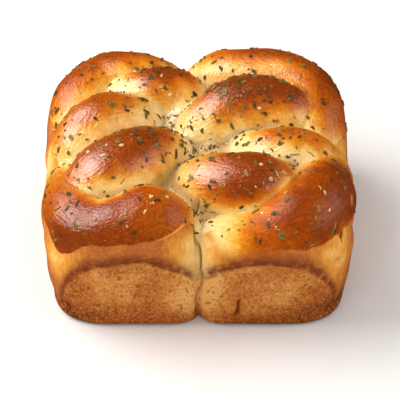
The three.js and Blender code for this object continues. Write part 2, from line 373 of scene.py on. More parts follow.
# The glaze was brushed on above a wavering hem: its height at places round the roll. The hem is
# crisp but for the right half of the front, where it faded out downwards. All of the top is
# glazed, also in creases that lie lower than the hem.
GLAZE_HEM = [
    (-220, 39), (-200, 38), (-182, 40), (-165, 36), (-150, 39), (-132, 38), (-112, 41),
    (-95, 36), (-78, 37), (-70, 34.2), (-64, 32.4), (-58, 31), (-53, 30.4), (-49, 31.2),
    (-45, 33), (-41, 36.5), (-36, 40), (-24, 40.8), (-13, 41.8), (-8, 43.2), (-3.5, 46),
    (2, 43), (7, 37), (13, 35), (21, 36.4), (30, 37.4), (38, 36.2), (46, 36.3), (53, 37),
    (58.5, 36.5), (61, 32), (63.5, 36.5), (72, 35), (88, 38), (105, 40), (118, 38),
    (135, 36), (150, 38), (170, 39), (188, 37), (205, 40), (220, 39),
]
HEM_FADING = 0.88
TOP_EDGE = (47, 42)
TOP_LIFT = 30

hem_at, hem_height = np.array(GLAZE_HEM, float).T
inwards = smooth_step(np.abs(dough[..., :2]).max(-1), *TOP_EDGE)
crisp = 1 - HEM_FADING * smooth_step(lap, -5, 1) * smooth_step(lap, 36, 24)
above_hem = (height - np.interp(lap, hem_at, hem_height)) * crisp + TOP_LIFT * inwards

# The dull patch where each lobe lay against the tin ends in an arc, which falls from its top by
# fall times (offset / half width)^power. Each patch: where round the roll its middle is, how
# much higher its arc stands, and its half width.
PATCH_TOP = 31.0
PATCH_FALL = 11.0
PATCH_POWER = 2.1
PATCH_SOFTNESS = 4.0
ARC_WAVER = 0.5
PATCHES = [
    (-23.5, 0.0, 24.5), (22.5, 0.3, 24.0), (90, -1.5, 19.0), (133, 0.8, 23.0), (197, -0.5, 23.0),
    (-197, 1.0, 23.0), (-134, -0.8, 23.0), (-91, -2.0, 18.0),
]
arc_height = np.full(height.shape, NONE)
patch_offset = np.zeros(height.shape)
for middle, lift, half_width in PATCHES:
    offset = lap - middle
    arc = PATCH_TOP + lift - PATCH_FALL * (np.abs(offset) / half_width) ** PATCH_POWER
    patch_offset = np.where(arc > arc_height, offset, patch_offset)
    arc_height = soft_larger(arc_height, arc, PATCH_SOFTNESS)
above_arc = height - arc_height + ARC_WAVER * lumps(dough, 9.0, 31)

# Seams down the middle of each side, where two lobes meet: the crust stayed pale beside them.
SEAM_HALF_WIDTH = 8.5
SEAM_TOP = (44, 36)

from_seam = lap - np.round(lap / SIDE) * SIDE
seam = np.exp(-(from_seam / SEAM_HALF_WIDTH) ** 2) * smooth_step(height, *SEAM_TOP)

# How far each point stands out from the dough round it, in millimetres: crests are over zero
# and browned first, creases are under zero and stayed pale.
ROUND_ABOUT = 12
CREST_RANGE = (-4.0, 3.6)

standing = ((dough - spread(dough, ROUND_ABOUT)) * facing).sum(-1)
mottle = lumps(dough, 7.0, 12)
blotch = lumps(dough, 16.0, 13)
bake = crest_bake * smooth_step(standing + flank_bake + 0.6 * mottle, *CREST_RANGE)
bake = bake + 0.06 * blotch * smooth_step(bake, 0.1, 0.4)
bake = np.clip(bake * (1 - 0.8 * seam), 0, 1)

# Under the hem the sides toasted without glaze, paler at the upper corners and palest beside the
# seams. Inside the patches the tin scorched them, most near the foot and towards the corners.
TOAST = 0.62
CORNER_PALENESS = 0.30
SCORCH = 0.32
FOOT_SCORCH = 0.44
OUTER_SCORCH = 0.18

corner = smooth_step(np.abs(patch_offset), 13, 30) * (np.abs(from_seam) > np.abs(patch_offset))
upper = 1 - smooth_step(height, 29, 13)
toast = TOAST - CORNER_PALENESS * corner * upper + 0.08 * blotch
toast = np.clip(toast * (1 - 0.85 * seam), 0, 1)
low = smooth_step(height, 14, 1)
outer = smooth_step(np.abs(patch_offset), 10, 26)
scorch = SCORCH + FOOT_SCORCH * low + OUTER_SCORCH * outer + 0.12 * blotch - 0.55 * seam
scorch = np.clip(scorch, 0, 1)

# Relief: broad lumps, wrinkles on the browned crests, the baked fold under the left front strand,
# the split in the right patch and a groove down each seam. It all sinks into the skin, so that
# the roll keeps its size.
LUMP_DEPTH = 0.5
WRINKLE_DEPTH = 0.06
FOLD_FROM = np.array((-17.0, 40.8))
FOLD_TO = np.array((-3.0, 44.5))
FOLD_DEPTH = 1.2
SPLIT_FROM = np.array((14.8, 13.5))
SPLIT_TO = np.array((12.2, 4.5))
SPLIT_DEPTH = 2.2
SPLIT_HALF_WIDTH = 0.55
SEAM_DEPTH = 1.4
GROOVE_HALF_WIDTH = 0.6
CORNER_ROUNDING = 0.75
NOTCH_DEPTH = 3.0
NOTCH_HALF_WIDTH = 4.5


def beside(line_from, line_to):
    """Signed distance above a line across the front, seen square on, and the share of the way
    along it."""
    run = line_to - line_from
    length = np.linalg.norm(run)
    rel = dough[..., (0, 2)] - line_from
    share = (rel @ run) / length ** 2
    above = (rel[..., 1] * run[0] - rel[..., 0] * run[1]) / length
    return above, share


front_side = smooth_step(-dough[..., 1], 40, 46)
fold_above, fold_share = beside(FOLD_FROM, FOLD_TO)
fold_span = smooth_step(fold_share, 0, 0.3) * smooth_step(1.15 - fold_share, 0, 0.2)
fold_span = fold_span * front_side
fold = smooth_step(fold_above, 0, -1.2) * smooth_step(fold_above, -7, -2) * fold_span
# Painted highlight: the fold's edge, a ledge that catches the light, is made paler.
fold_edge_highlight = np.exp(-((fold_above + 0.6) / 0.7) ** 2) * fold_span
toast = np.clip(toast - 0.4 * fold_edge_highlight, 0, 1)
split_above, split_share = beside(SPLIT_FROM, SPLIT_TO)
split_bend = 0.5 * np.sin(split_share * 7)
split = np.exp(-((split_above + split_bend) / SPLIT_HALF_WIDTH) ** 2) * front_side
split *= smooth_step(split_share, -0.1, 0.3) * smooth_step(1.1 - split_share, 0, 0.3)

wrinkle = np.sin(round_strand * 2.4 + 1.3 * np.sin(along_strand * 0.31) + 0.8 * mottle)
wrinkle *= smooth_step(bake, 0.4, 0.8) * smooth_step(blotch, -0.2, 0.5)
sink = LUMP_DEPTH * (0.5 + 0.5 * lumps(dough, 13.0, 21))
sink += WRINKLE_DEPTH * (1 + wrinkle)
groove_bend = 0.5 * np.sin(height * 0.21) + 0.25 * np.sin(height * 0.5 + 1)
groove = np.exp(-((from_seam + groove_bend) / GROOVE_HALF_WIDTH) ** 2)
groove *= smooth_step(height, 46, 40) * (1 - 0.28 * smooth_step(height, 32, 18))
sink += FOLD_DEPTH * fold + SPLIT_DEPTH * split + SEAM_DEPTH * groove
# The lobes' upper corners were soft where they rose out of the tin.
soft_corner = smooth_step(np.abs(from_seam), 32, 44) * smooth_step(height, 42, 34)
sink += CORNER_ROUNDING * np.maximum(standing, 0) * soft_corner
sink *= smooth_step(height, 0.3, 4.0)
bread_skin = dough - facing * sink[..., None]

# At the foot of each seam the two lobes curve away from each other: the skin is drawn in there.
notch = np.exp(-(from_seam / NOTCH_HALF_WIDTH) ** 2) * smooth_step(height, 15, 1)
plan = dough[..., :2]
outwards = plan / np.maximum(np.linalg.norm(plan, axis=-1, keepdims=True), 1)
bread_skin[..., :2] -= NOTCH_DEPTH * notch[..., None] * outwards

UNDERSIDE_RINGS = (0.975, 0.94, 0.88, 0.72, 0.4)
HAIR = 1e-5


def closed_bread(points):
    """The bread's vertices and faces: the square grid, then rings that carry its rim flat in
    under the roll, each lifted by the rim's height times ring^6, and a point at the middle."""
    count = len(points)
    index = np.arange(count * count).reshape(count, count)
    corners = [index[:-1, :-1], index[:-1, 1:], index[1:, 1:], index[1:, :-1]]
    quads = [np.stack(corners, -1).reshape(-1, 4)]
    rim = np.concatenate([index[0, :-1], index[:-1, -1], index[-1, :0:-1], index[:0:-1, 0]])
    rim_points = points.reshape(-1, 3)[rim]
    verts = [points.reshape(-1, 3)]
    outer_ring = rim
    for share in UNDERSIDE_RINGS:
        lifted = np.column_stack([rim_points[:, :2] * share, rim_points[:, 2] * share ** 6])
        inner_ring = sum(map(len, verts)) + np.arange(len(rim))
        verts.append(lifted)
        turned = np.roll(outer_ring, -1), np.roll(inner_ring, -1)
        quads.append(np.stack([turned[0], outer_ring, inner_ring, turned[1]], -1))
        outer_ring = inner_ring
    pole = sum(map(len, verts))
    verts.append(np.zeros((1, 3)))
    fan = np.stack([np.roll(outer_ring, -1), outer_ring, np.full(len(rim), pole)], -1)
    return np.vstack(verts), np.vstack(quads), fan, rim


def held_in(verts):
    """Millimetres to metres, over the origin, and no further out than the solid."""
    return np.clip((verts + MIDDLE_SHIFT) * MM, np.array(cad_low), np.array(cad_high))


bread_verts, bread_quads, bread_fan, bread_rim = closed_bread(bread_skin)
bread_verts = held_in(bread_verts)
bread_verts[bread_verts[:, 2] < HAIR, 2] = 0.0


def mesh_piece(name, verts, faces, measures=None, smooth=True):
    """A mesh object from arrays of vertices and faces, with named measures at its vertices."""
    mesh = bpy.data.meshes.new(name)
    mesh.from_pydata(verts.tolist(), [], [list(face) for part in faces for face in part.tolist()])
    mesh.update()
    mesh.polygons.foreach_set("use_smooth", np.full(len(mesh.polygons), smooth))
    for measure, values in (measures or {}).items():
        attribute = mesh.attributes.new(measure, "FLOAT", "POINT")
        attribute.data.foreach_set("value", np.asarray(values, np.float32))
    piece = bpy.data.objects.new(name, mesh)
    bpy.context.scene.collection.objects.link(piece)
    return piece


def carried_under(values, middle_value):
    """A measure of the skin, carried in under the roll: each ring takes ring^4 of the rim's value
    and the rest of the middle's."""
    flat = values.ravel()
    from_middle = flat[bread_rim] - middle_value
    rings = [middle_value + from_middle * share ** 4 for share in UNDERSIDE_RINGS]
    return np.concatenate([flat, *rings, [middle_value]])


# What the crust's colours and gloss are made from, each with its value under the middle of the
# roll. The bottom of the split gets the same painted shade as the bottoms of the seams' grooves.
bread_measures = {
    "bake": (bake, 0.5), "toast": (toast, 0.6), "scorch": (scorch, 0.75),
    "above_hem": (above_hem, -30.0), "crisp": (crisp, 1.0), "shine": (shine, 0.5),
    "above_arc": (above_arc, -30.0), "along_strand": (along_strand, 0.0),
    "round_strand": (round_strand, 0.0), "standing": (standing, 0.0),
    "groove": (np.maximum(groove, split), 0.0),
}
bread = mesh_piece("bread", bread_verts, [bread_quads, bread_fan], {
    measure: carried_under(*pair) for measure, pair in bread_measures.items()})


def paint(screen_colour):
    """A colour from its three screen values of 0 to 255, made linear for the shader."""
    screen = np.array(screen_colour) / 255
    linear = np.where(screen <= 0.04045, screen / 12.92, ((screen + 0.055) / 1.055) ** 2.4)
    return (*linear.tolist(), 1.0)


def new_material(name):
    """A material with its Principled shader, given as (material, node tree, shader)."""
    material = bpy.data.materials.new(name)
    material.use_nodes = True
    return material, material.node_tree, material.node_tree.nodes["Principled BSDF"]


def plug(tree, node, sockets):
    """Gives each named socket of a node a value, or a link from another node's output."""
    for socket, value in sockets.items():
        if isinstance(value, bpy.types.NodeSocket):
            tree.links.new(value, node.inputs[socket])
        else:
            node.inputs[socket].default_value = value
    return node


def add(tree, kind, sockets=None, **settings):
    """A new shader node with its settings and sockets."""
    node = tree.nodes.new(kind)
    for setting, value in settings.items():
        setattr(node, setting, value)
    return plug(tree, node, sockets or {})


def measure_of(tree, name):
    """A measure that the mesh carries at its vertices."""
    return add(tree, "ShaderNodeAttribute", attribute_name=name).outputs["Fac"]


def plus(tree, a, b):
    return add(tree, "ShaderNodeMath", {0: a, 1: b}, operation="ADD").outputs[0]


def times(tree, a, b):
    return add(tree, "ShaderNodeMath", {0: a, 1: b}, operation="MULTIPLY").outputs[0]


def with_share(tree, value, change, share):
    """The value plus the change times its share."""
    return plus(tree, value, times(tree, change, share))


def stretch(tree, value, start, end, low=0.0, high=1.0):
    """Carries a value from the range start..end to low..high, smoothly and held at both ends."""
    sockets = {"Value": value, "From Min": start, "From Max": end, "To Min": low, "To Max": high}
    node = add(tree, "ShaderNodeMapRange", sockets, interpolation_type="SMOOTHSTEP")
    return node.outputs["Result"]


def grains(tree, place, scale, detail=2.0, rough=0.5):
    """Noise from 0 to 1, scale grains to each unit of the place."""
    sockets = {"Vector": place, "Scale": scale, "Detail": detail, "Roughness": rough}
    return add(tree, "ShaderNodeTexNoise", sockets).outputs["Fac"]


def around_zero(tree, noise):
    return plus(tree, noise, -0.5)


def drawn_up(tree, place, upwards):
    """The place with its height made less by a factor, so that noise on it runs upwards."""
    sockets = {0: place, 1: (1.0, 1.0, upwards)}
    return add(tree, "ShaderNodeVectorMath", sockets, operation="MULTIPLY").outputs[0]


def covered(tree, share, under, cover):
    """The colour under a cover that hides it by a share. A cover given as three numbers is a
    screen colour."""
    if isinstance(cover, tuple):
        cover = paint(cover)
    sockets = {0: share, 6: under, 7: cover}
    return add(tree, "ShaderNodeMix", sockets, data_type="RGBA").outputs[2]


def tones(tree, value, stops):
    """A colour ramp through (place, screen colour) stops."""
    ramp = add(tree, "ShaderNodeValToRGB", {"Fac": value})
    band = ramp.color_ramp.elements
    while len(band) < len(stops):
        band.new(0.5)
    for element, (place, colour) in zip(band, stops):
        element.position = place
        element.color = paint(colour)
    return ramp.outputs["Color"]


# Crust under glaze, from the pale creases to the darkest crests.
GLAZED_TONES = [
    (0.0, (250, 226, 166)), (0.15, (248, 209, 126)), (0.3, (242, 183, 82)),
    (0.45, (228, 148, 38)), (0.6, (210, 116, 16)), (0.75, (193, 95, 8)),
    (0.88, (166, 73, 3)), (1.0, (136, 54, 2)),
]
# Bare crust between the hem and the patches.
BARE_TONES = [
    (0.0, (240, 206, 142)), (0.16, (236, 188, 106)), (0.34, (224, 148, 56)),
    (0.6, (184, 102, 44)), (1.0, (140, 66, 30)),
]
# The dull patches that lay against the tin.
PATCH_TONES = [
    (0.0, (222, 162, 90)), (0.3, (196, 122, 56)), (0.6, (164, 86, 32)),
    (1.0, (108, 48, 12)),
]
ARC_LINE = (116, 50, 24)
PORE_SHADE = (112, 52, 16)
FLECK_SHADE = (226, 170, 104)
# Painted shade for the deep creases between strands.
PAINTED_CREASE_SHADE = (182, 124, 56)
# Painted shade for the bottoms of the seams' grooves and of the split.
PAINTED_GROOVE_SHADE = (112, 64, 26)

# How much each kind of noise changes the tone or covers what lies under it.
STREAK_SHARE = 0.3
SPOT_SHARE = 0.08
TOAST_SHARE = 0.3
FIBRE_SHARE = 0.4
BLISTER_SHARE = 0.3
SPECKLE_SHARE = 0.7
SCORCH_SHARE = 0.5
PORE_SHARE = 0.6
FLECK_SHARE = 0.32
ARC_RAGGEDNESS = 1.6
HEM_RAGGEDNESS = 2.4

GLAZE_ROUGHNESS = 0.4
BARE_ROUGHNESS = 0.55
PATCH_ROUGHNESS = 0.75
CRUST_SPECULAR = 0.05
FILM_ROUGHNESS = 0.08
FILM_IOR = 2.2
FILM_RELIEF = 0.00045
FILM_STRENGTH = 0.7
GRAIN_RELIEF = 0.0003
GRAIN_STRENGTH = 0.5


def glazed_colour(tree, streaks, speckle):
    """The bake measure along its tones, streaked along the strands and faintly spotted."""
    bake_here = with_share(tree, measure_of(tree, "bake"), around_zero(tree, streaks), STREAK_SHARE)
    spots = around_zero(tree, stretch(tree, speckle, 0.38, 0.62))
    return tones(tree, with_share(tree, bake_here, spots, SPOT_SHARE), GLAZED_TONES)


def bare_colour(tree, place, uneven):
    """The toast measure along its tones, with fibres of pulled dough and pale blisters."""
    toast_here = with_share(tree, measure_of(tree, "toast"), uneven, TOAST_SHARE)
    fibres = around_zero(tree, grains(tree, drawn_up(tree, place, 0.3), 1000.0, 3.0, 0.6))
    colour = tones(tree, with_share(tree, toast_here, fibres, FIBRE_SHARE), BARE_TONES)
    blisters = stretch(tree, grains(tree, place, 1300.0, 1.0), 0.58, 0.72)
    return covered(tree, times(tree, blisters, BLISTER_SHARE), colour, FLECK_SHADE)


def patch_colour(tree, place, uneven, speckle):
    """The scorch measure along its tones, with small and large pores and pale flecks. Gives the
    pores too, since they are also pits."""
    speckles = around_zero(tree, speckle)
    scorch_here = with_share(tree, measure_of(tree, "scorch"), speckles, SPECKLE_SHARE)
    colour = tones(tree, with_share(tree, scorch_here, uneven, SCORCH_SHARE), PATCH_TONES)
    upright = drawn_up(tree, place, 0.65)
    small = stretch(tree, grains(tree, upright, 980.0, 1.0), 0.30, 0.40, 1.0, 0.0)
    large = stretch(tree, grains(tree, upright, 420.0, 1.0), 0.24, 0.32, 1.0, 0.0)
    pores = add(tree, "ShaderNodeMath", {0: small, 1: large}, operation="MAXIMUM").outputs[0]
    colour = covered(tree, times(tree, pores, PORE_SHARE), colour, PORE_SHADE)
    flecks = stretch(tree, grains(tree, upright, 1500.0, 1.0), 0.54, 0.68)
    return covered(tree, times(tree, flecks, FLECK_SHARE), colour, FLECK_SHADE), pores


def arc_line(tree, place, above_line):
    """The dark line along each patch's arc: sharp below, fading out over some millimetres above,
    worn in places, and missing where the sides hardly toasted."""
    below = stretch(tree, above_line, -2.0, 0.3)
    above = stretch(tree, above_line, 0.9, 7.5, 1.0, 0.0)
    toasted = stretch(tree, measure_of(tree, "toast"), 0.0, 0.2)
    line = times(tree, times(tree, below, above), toasted)
    worn = stretch(tree, grains(tree, place, 500.0, 3.0), 0.3, 0.6, 0.5, 0.92)
    return times(tree, line, worn)


def crust_material():
    """Three finishes meet on one skin: glazed and browned by the bake measure above the hem,
    bare between hem and arc, and dull and pored below the arc, with a dark line along it. The
    glaze is a coat of clear film, whose gloss follows the shine measure."""
    material, tree, shader = new_material("crust")
    place = add(tree, "ShaderNodeTexCoord").outputs["Object"]
    uneven = around_zero(tree, grains(tree, place, 260.0, 3.0))
    fine = grains(tree, place, 1500.0, 3.0)
    speckle = grains(tree, place, 900.0, 2.0)
    strand_place = add(tree, "ShaderNodeCombineXYZ", {
        "X": times(tree, measure_of(tree, "along_strand"), 0.45),
        "Y": measure_of(tree, "round_strand"),
    }).outputs[0]
    streaks = grains(tree, strand_place, 0.9, 3.0, 0.55)

    above_line = with_share(tree, measure_of(tree, "above_arc"), uneven, ARC_RAGGEDNESS)
    patch = stretch(tree, above_line, -0.9, 0.5, 1.0, 0.0)
    raggedness = times(tree, measure_of(tree, "crisp"), HEM_RAGGEDNESS)
    above_edge = with_share(tree, measure_of(tree, "above_hem"), uneven, raggedness)
    glaze = stretch(tree, above_edge, -0.35, 0.35)

    dull, pores = patch_colour(tree, place, uneven, speckle)
    colour = covered(tree, patch, bare_colour(tree, place, uneven), dull)
    colour = covered(tree, arc_line(tree, place, above_line), colour, ARC_LINE)
    colour = covered(tree, glaze, colour, glazed_colour(tree, streaks, speckle))
    # Painted shade: the deep creases, which sink below the dough round them, are darkened.
    painted_crease_shade = stretch(tree, measure_of(tree, "standing"), -3.6, -1.5, 0.58, 0.0)
    colour = covered(tree, painted_crease_shade, colour, PAINTED_CREASE_SHADE)
    # Painted shade along the bottoms of the seams' grooves and of the split.
    groove = stretch(tree, measure_of(tree, "groove"), 0.35, 0.95, 0.0, 0.85)
    colour = covered(tree, groove, colour, PAINTED_GROOVE_SHADE)

    rough = with_share(tree, BARE_ROUGHNESS, patch, PATCH_ROUGHNESS - BARE_ROUGHNESS)
    rough = with_share(tree, rough, glaze, GLAZE_ROUGHNESS - BARE_ROUGHNESS)
    dried = stretch(tree, grains(tree, place, 90.0, 2.0), 0.3, 0.6, 0.6, 1.0)
    wet = times(tree, measure_of(tree, "shine"), dried)

    ripples = with_share(tree, streaks, grains(tree, place, 850.0, 4.0, 0.6), 0.9)
    normal = add(tree, "ShaderNodeBump", {
        "Height": times(tree, glaze, ripples), "Distance": FILM_RELIEF,
        "Strength": FILM_STRENGTH,
    }).outputs["Normal"]
    pits = times(tree, patch, pores)
    normal = add(tree, "ShaderNodeBump", {
        "Height": with_share(tree, times(tree, fine, 0.6), pits, -1.0),
        "Distance": GRAIN_RELIEF, "Strength": GRAIN_STRENGTH, "Normal": normal,
    }).outputs["Normal"]
    plug(tree, shader, {
        "Base Color": colour, "Roughness": rough, "Specular IOR Level": CRUST_SPECULAR,
        "Coat Weight": times(tree, glaze, wet), "Coat Roughness": FILM_ROUGHNESS,
        "Coat IOR": FILM_IOR, "Normal": normal, "Coat Normal": normal,
    })
    return material


bread.data.materials.append(crust_material())
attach(bread, "root")
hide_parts("roll")

# ------------------------ The dried herbs
# Crumbled dried leaf, scattered over the wet glaze before baking, so each scrap is stuck down
# in it. The largest leaves lie where the solid has them; smaller ones and clusters lie between.

LARGE_LEAVES = 120
LEAF_SEED = 20260
LEAF_LENGTH = (2.2, 3.6)
LEAF_SLENDERNESS = (0.38, 0.62)
LEAF_SPACING = 4.2
LEAF_REACH = 0.61
NUDGE = 0.004
SMALL_LEAVES = 760
SMALL_REACH = 0.72
SMALL_LENGTH = (0.8, 2.6)
SMALL_SLENDERNESS = (0.25, 0.62)
LEAF_CORNERS = 7
LEAF_PROUD = (0.22, 0.45)
LEAF_SUNK = 0.5
# Millimetres of crust to one unit of the plate, near its middle.
PLATE_UNIT = 75
# Clusters: x and y of the middle, how many leaves, and how far they spread.
LOWEST_CLUSTER = 30
CLUSTERS = [
    (-17, 27, 16, 4.0), (12, 13, 14, 4.5), (-8, 3, 12, 4.0), (-2, -12, 10, 3.0),
    (0, -33, 9, 2.5), (-1, -39, 16, 2.0), (-14, 9, 12, 3.5), (-24, -14, 9, 4.0),
    (17, 21, 13, 5.0), (33, 8, 8, 3.0), (-32, 22, 7, 4.0), (30, -14, 7, 3.0),
]


def between_ends(ends, share):
    """The length that lies a share of the way between two ends."""
    return ends[0] + (ends[1] - ends[0]) * share


def even_draws(seed):
    """Even draws between 0 and 1: each state is 16807 times the last, modulo 2147483647."""
    state = seed
    while True:
        state = (state * 16807) % 2147483647
        yield state / 2147483647


def on_crust(across, back):
    """The finished skin's point and outward normal over a place on the plate, taken between the
    four nearest points of the grid."""
    across, back = np.asarray(across, float), np.asarray(back, float)
    rim = np.maximum(np.maximum(np.abs(across), np.abs(back)), 1e-9)
    unease = rim ** (1 / GRID_EASE) / rim
    column = (across * unease + 1) / 2 * (GRID_POINTS - 1)
    row = (back * unease + 1) / 2 * (GRID_POINTS - 1)
    left, near = np.floor(column).astype(int), np.floor(row).astype(int)
    past, beyond = (column - left)[..., None], (row - near)[..., None]

    def between(values):
        front = values[near, left] * (1 - past) + values[near, left + 1] * past
        rear = values[near + 1, left] * (1 - past) + values[near + 1, left + 1] * past
        return front * (1 - beyond) + rear * beyond

    normal = between(skin_facing)
    return between(bread_skin), normal / np.linalg.norm(normal, axis=-1, keepdims=True)


def scrap_frames(across, back, turn):
    """Where scraps lie and how they are turned: their long way, their short way and the way out
    of the crust, each a unit vector."""
    place, out = on_crust(across, back)
    ahead = on_crust(across + NUDGE, back)[0] - on_crust(across - NUDGE, back)[0]
    ahead -= out * (ahead * out).sum(-1, keepdims=True)
    ahead /= np.linalg.norm(ahead, axis=-1, keepdims=True)
    side = np.cross(out, ahead)
    long = ahead * np.cos(turn)[:, None] + side * np.sin(turn)[:, None]
    return place, long, np.cross(out, long), out


def laid_out(frames, x, y, z):
    """Points x along each scrap, y across it and z out of the crust, from where it lies."""
    each = (-1, *[1] * (np.ndim(y) - 1), 3)
    place, long, short, out = (part.reshape(each) for part in frames)
    return place + long * x[..., None] + short * y[..., None] + out * z[..., None]


def large_leaf_places():
    """The solid's own rule: places drawn over the top, skipping any that lies closer than the
    spacing to an earlier one, each with a turn, a length and a slenderness."""
    draw = even_draws(LEAF_SEED)
    leaves, places = [], []
    while len(leaves) < LARGE_LEAVES:
        across = LEAF_REACH * (2 * next(draw) - 1)
        back = LEAF_REACH * (2 * next(draw) - 1)
        turn = 2 * pi * next(draw)
        place = on_crust(across, back)[0]
        if any(np.linalg.norm(place - other) < LEAF_SPACING for other in places):
            continue
        places.append(place)
        length = between_ends(LEAF_LENGTH, next(draw))
        slender = between_ends(LEAF_SLENDERNESS, next(draw))
        next(draw)  # By this draw the solid's plate has five or six sides.
        leaves.append((across, back, turn, length, length * slender))
    return np.array(leaves)


def clustered(groups, lowest, chance):
    """Places on the plate for scraps in groups, spread on a bell curve round each middle: the
    grid point nearest to its x and y that isn't under the lowest height."""
    spots = []
    for x, y, count, reach in groups:
        off = np.hypot(bread_skin[..., 0] - x, bread_skin[..., 1] - y)
        off[height < lowest] += FAR
        row, column = np.unravel_index(off.argmin(), off.shape)
        middle = np.array((plate_across[row, column], plate_back[row, column]))
        spots.append(middle + chance.normal(0, reach / PLATE_UNIT, (count, 2)))
    return spots


def small_leaf_places(chance):
    """Small scraps strewn evenly over the top, as far down as the glaze, and more of them in the
    clusters. Their lengths run between two ends by share^1.7, so most are crumbs."""
    loose = chance.uniform(-SMALL_REACH, SMALL_REACH, (SMALL_LEAVES, 2))
    place = on_crust(loose[:, 0], loose[:, 1])[0]
    loose = loose[place[:, 2] > np.interp(round_the_roll(place), hem_at, hem_height)]
    spots = np.vstack([loose, *clustered(CLUSTERS, LOWEST_CLUSTER, chance)])
    count = len(spots)
    length = between_ends(SMALL_LENGTH, chance.random(count) ** 1.7)
    width = length * chance.uniform(*SMALL_SLENDERNESS, count)
    return np.column_stack([spots, chance.uniform(0, 2 * pi, count), length, width])


def ringed_faces(count, rings, sides):
    """The faces of closed scraps made of rings of corners: quads from ring to ring, and a fan at
    each end round one more corner. These two come after the corners of the rings."""
    ring_of, corner = np.meshgrid(np.arange(rings - 1) * sides, np.arange(sides), indexing="ij")
    following = (corner + 1) % sides
    wall = np.stack([ring_of + corner, ring_of + sides + corner, ring_of + sides + following,
                     ring_of + following], -1).reshape(-1, 4)
    corner, following = corner[0], following[0]
    last = (rings - 1) * sides
    pole = np.full(sides, rings * sides)
    caps = np.vstack([
        np.stack([pole, corner, following], -1),
        np.stack([pole + 1, following + last, corner + last], -1)])
    first = (np.arange(count) * (rings * sides + 2))[:, None, None]
    return [(part + first).reshape(-1, part.shape[1]) for part in (wall, caps)]


def leaf_mesh(leaves, chance):
    """Every leaf is a thin plate, an oval whose radius is drawn anew at each corner, bent over
    the crust and curled at its ends, with a painted highlight on its edges and painted shade at
    its middle."""
    count = len(leaves)
    frames = scrap_frames(*leaves[:, :3].T)
    angle = (np.arange(LEAF_CORNERS) + chance.uniform(-0.25, 0.25, (count, LEAF_CORNERS)))
    angle *= 2 * pi / LEAF_CORNERS
    ragged = chance.uniform(0.5, 1.3, (count, LEAF_CORNERS))
    rim_x = np.cos(angle) * ragged * leaves[:, 3:4] * 0.54
    rim_y = np.sin(angle) * ragged * leaves[:, 4:5] * 0.6
    proud = chance.uniform(*LEAF_PROUD, count)[:, None]
    curl = chance.uniform(-0.02, 0.05, count)[:, None]

    def layer(x, y, lift):
        return laid_out(frames, x, y, lift - x ** 2 / 26 + curl * np.abs(x) ** 1.5)

    zero = np.zeros((count, 1))
    top = layer(rim_x * 0.86, rim_y * 0.86, proud)
    foot = layer(rim_x, rim_y, np.full((count, 1), -LEAF_SUNK))
    crown = layer(zero, zero, proud + chance.uniform(-0.08, 0.1, (count, 1)))
    root = layer(zero, zero, np.full((count, 1), -LEAF_SUNK))
    verts = np.concatenate([top, foot, crown, root], axis=1)
    faces = ringed_faces(count, 2, LEAF_CORNERS)
    # Painted highlight on each leaf's upper rim and a little painted shade at its middle, on top of
    # its own random tone.
    painted_rim_highlight_and_shade = np.repeat((0.3, 0.0, -0.12, 0.0), (LEAF_CORNERS, LEAF_CORNERS, 1, 1))
    tone = (0.7 * chance.random((count, 1)) + painted_rim_highlight_and_shade).ravel()
    return held_in(verts.reshape(-1, 3)), faces, {"tone": tone}


skin_facing = outward(bread_skin)
leaf_chance = np.random.default_rng(77)
all_leaves = np.vstack([large_leaf_places(), small_leaf_places(leaf_chance)])
leaves = mesh_piece("herb_leaves", *leaf_mesh(all_leaves, leaf_chance), smooth=False)

LEAF_TONES = [
    (0.0, (52, 38, 20)), (0.3, (78, 60, 28)), (0.55, (106, 88, 38)),
    (0.8, (136, 116, 58)), (1.0, (184, 160, 98)),
]
DRIED_MOTTLING = 0.8
DRIED_SPECULAR = 0.4


def mottled_tone_group():
    """A shader node group that all dry scraps share: a tone plus fine noise from -0.5 to 0.5
    times the mottling."""
    group = bpy.data.node_groups.new("mottled tone", "ShaderNodeTree")
    group.interface.new_socket("Place", in_out="INPUT", socket_type="NodeSocketVector")
    for name, way in (("Tone", "INPUT"), ("Mottling", "INPUT"), ("Mottled Tone", "OUTPUT")):
        group.interface.new_socket(name, in_out=way, socket_type="NodeSocketFloat")
    given = add(group, "NodeGroupInput").outputs
    fine = around_zero(group, grains(group, given["Place"], 1800.0, 2.0))
    mottled = with_share(group, given["Tone"], fine, given["Mottling"])
    add(group, "NodeGroupOutput", {"Mottled Tone": mottled})
    return group


mottled_tone = mottled_tone_group()


def dried_material(name, tone_stops, rough):
    """A dry scrap: its own tone along a ramp, mottled by fine noise."""
    material, tree, shader = new_material(name)
    sockets = {
        "Place": add(tree, "ShaderNodeTexCoord").outputs["Object"],
        "Tone": measure_of(tree, "tone"), "Mottling": DRIED_MOTTLING,
    }
    tone = add(tree, "ShaderNodeGroup", sockets, node_tree=mottled_tone).outputs["Mottled Tone"]
    colour = tones(tree, tone, tone_stops)
    plug(tree, shader, {
        "Base Color": colour, "Roughness": rough, "Specular IOR Level": DRIED_SPECULAR})
    return material


leaves.data.materials.append(dried_material("herb leaf", LEAF_TONES, 0.55))
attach(leaves, "root")

# ------------------------ The herb stalks
# Thin dry stalks and veins that came with the crumbled leaf, lying along the crust, paler than
# the leaf itself.

STALKS = 44
STALK_LENGTH = (1.8, 4.2)
STALK_RADIUS = (0.14, 0.26)
STALK_POINTS = 6
STALK_SIDES = 5
STALK_REACH = 0.66
STALK_BEND = 0.6


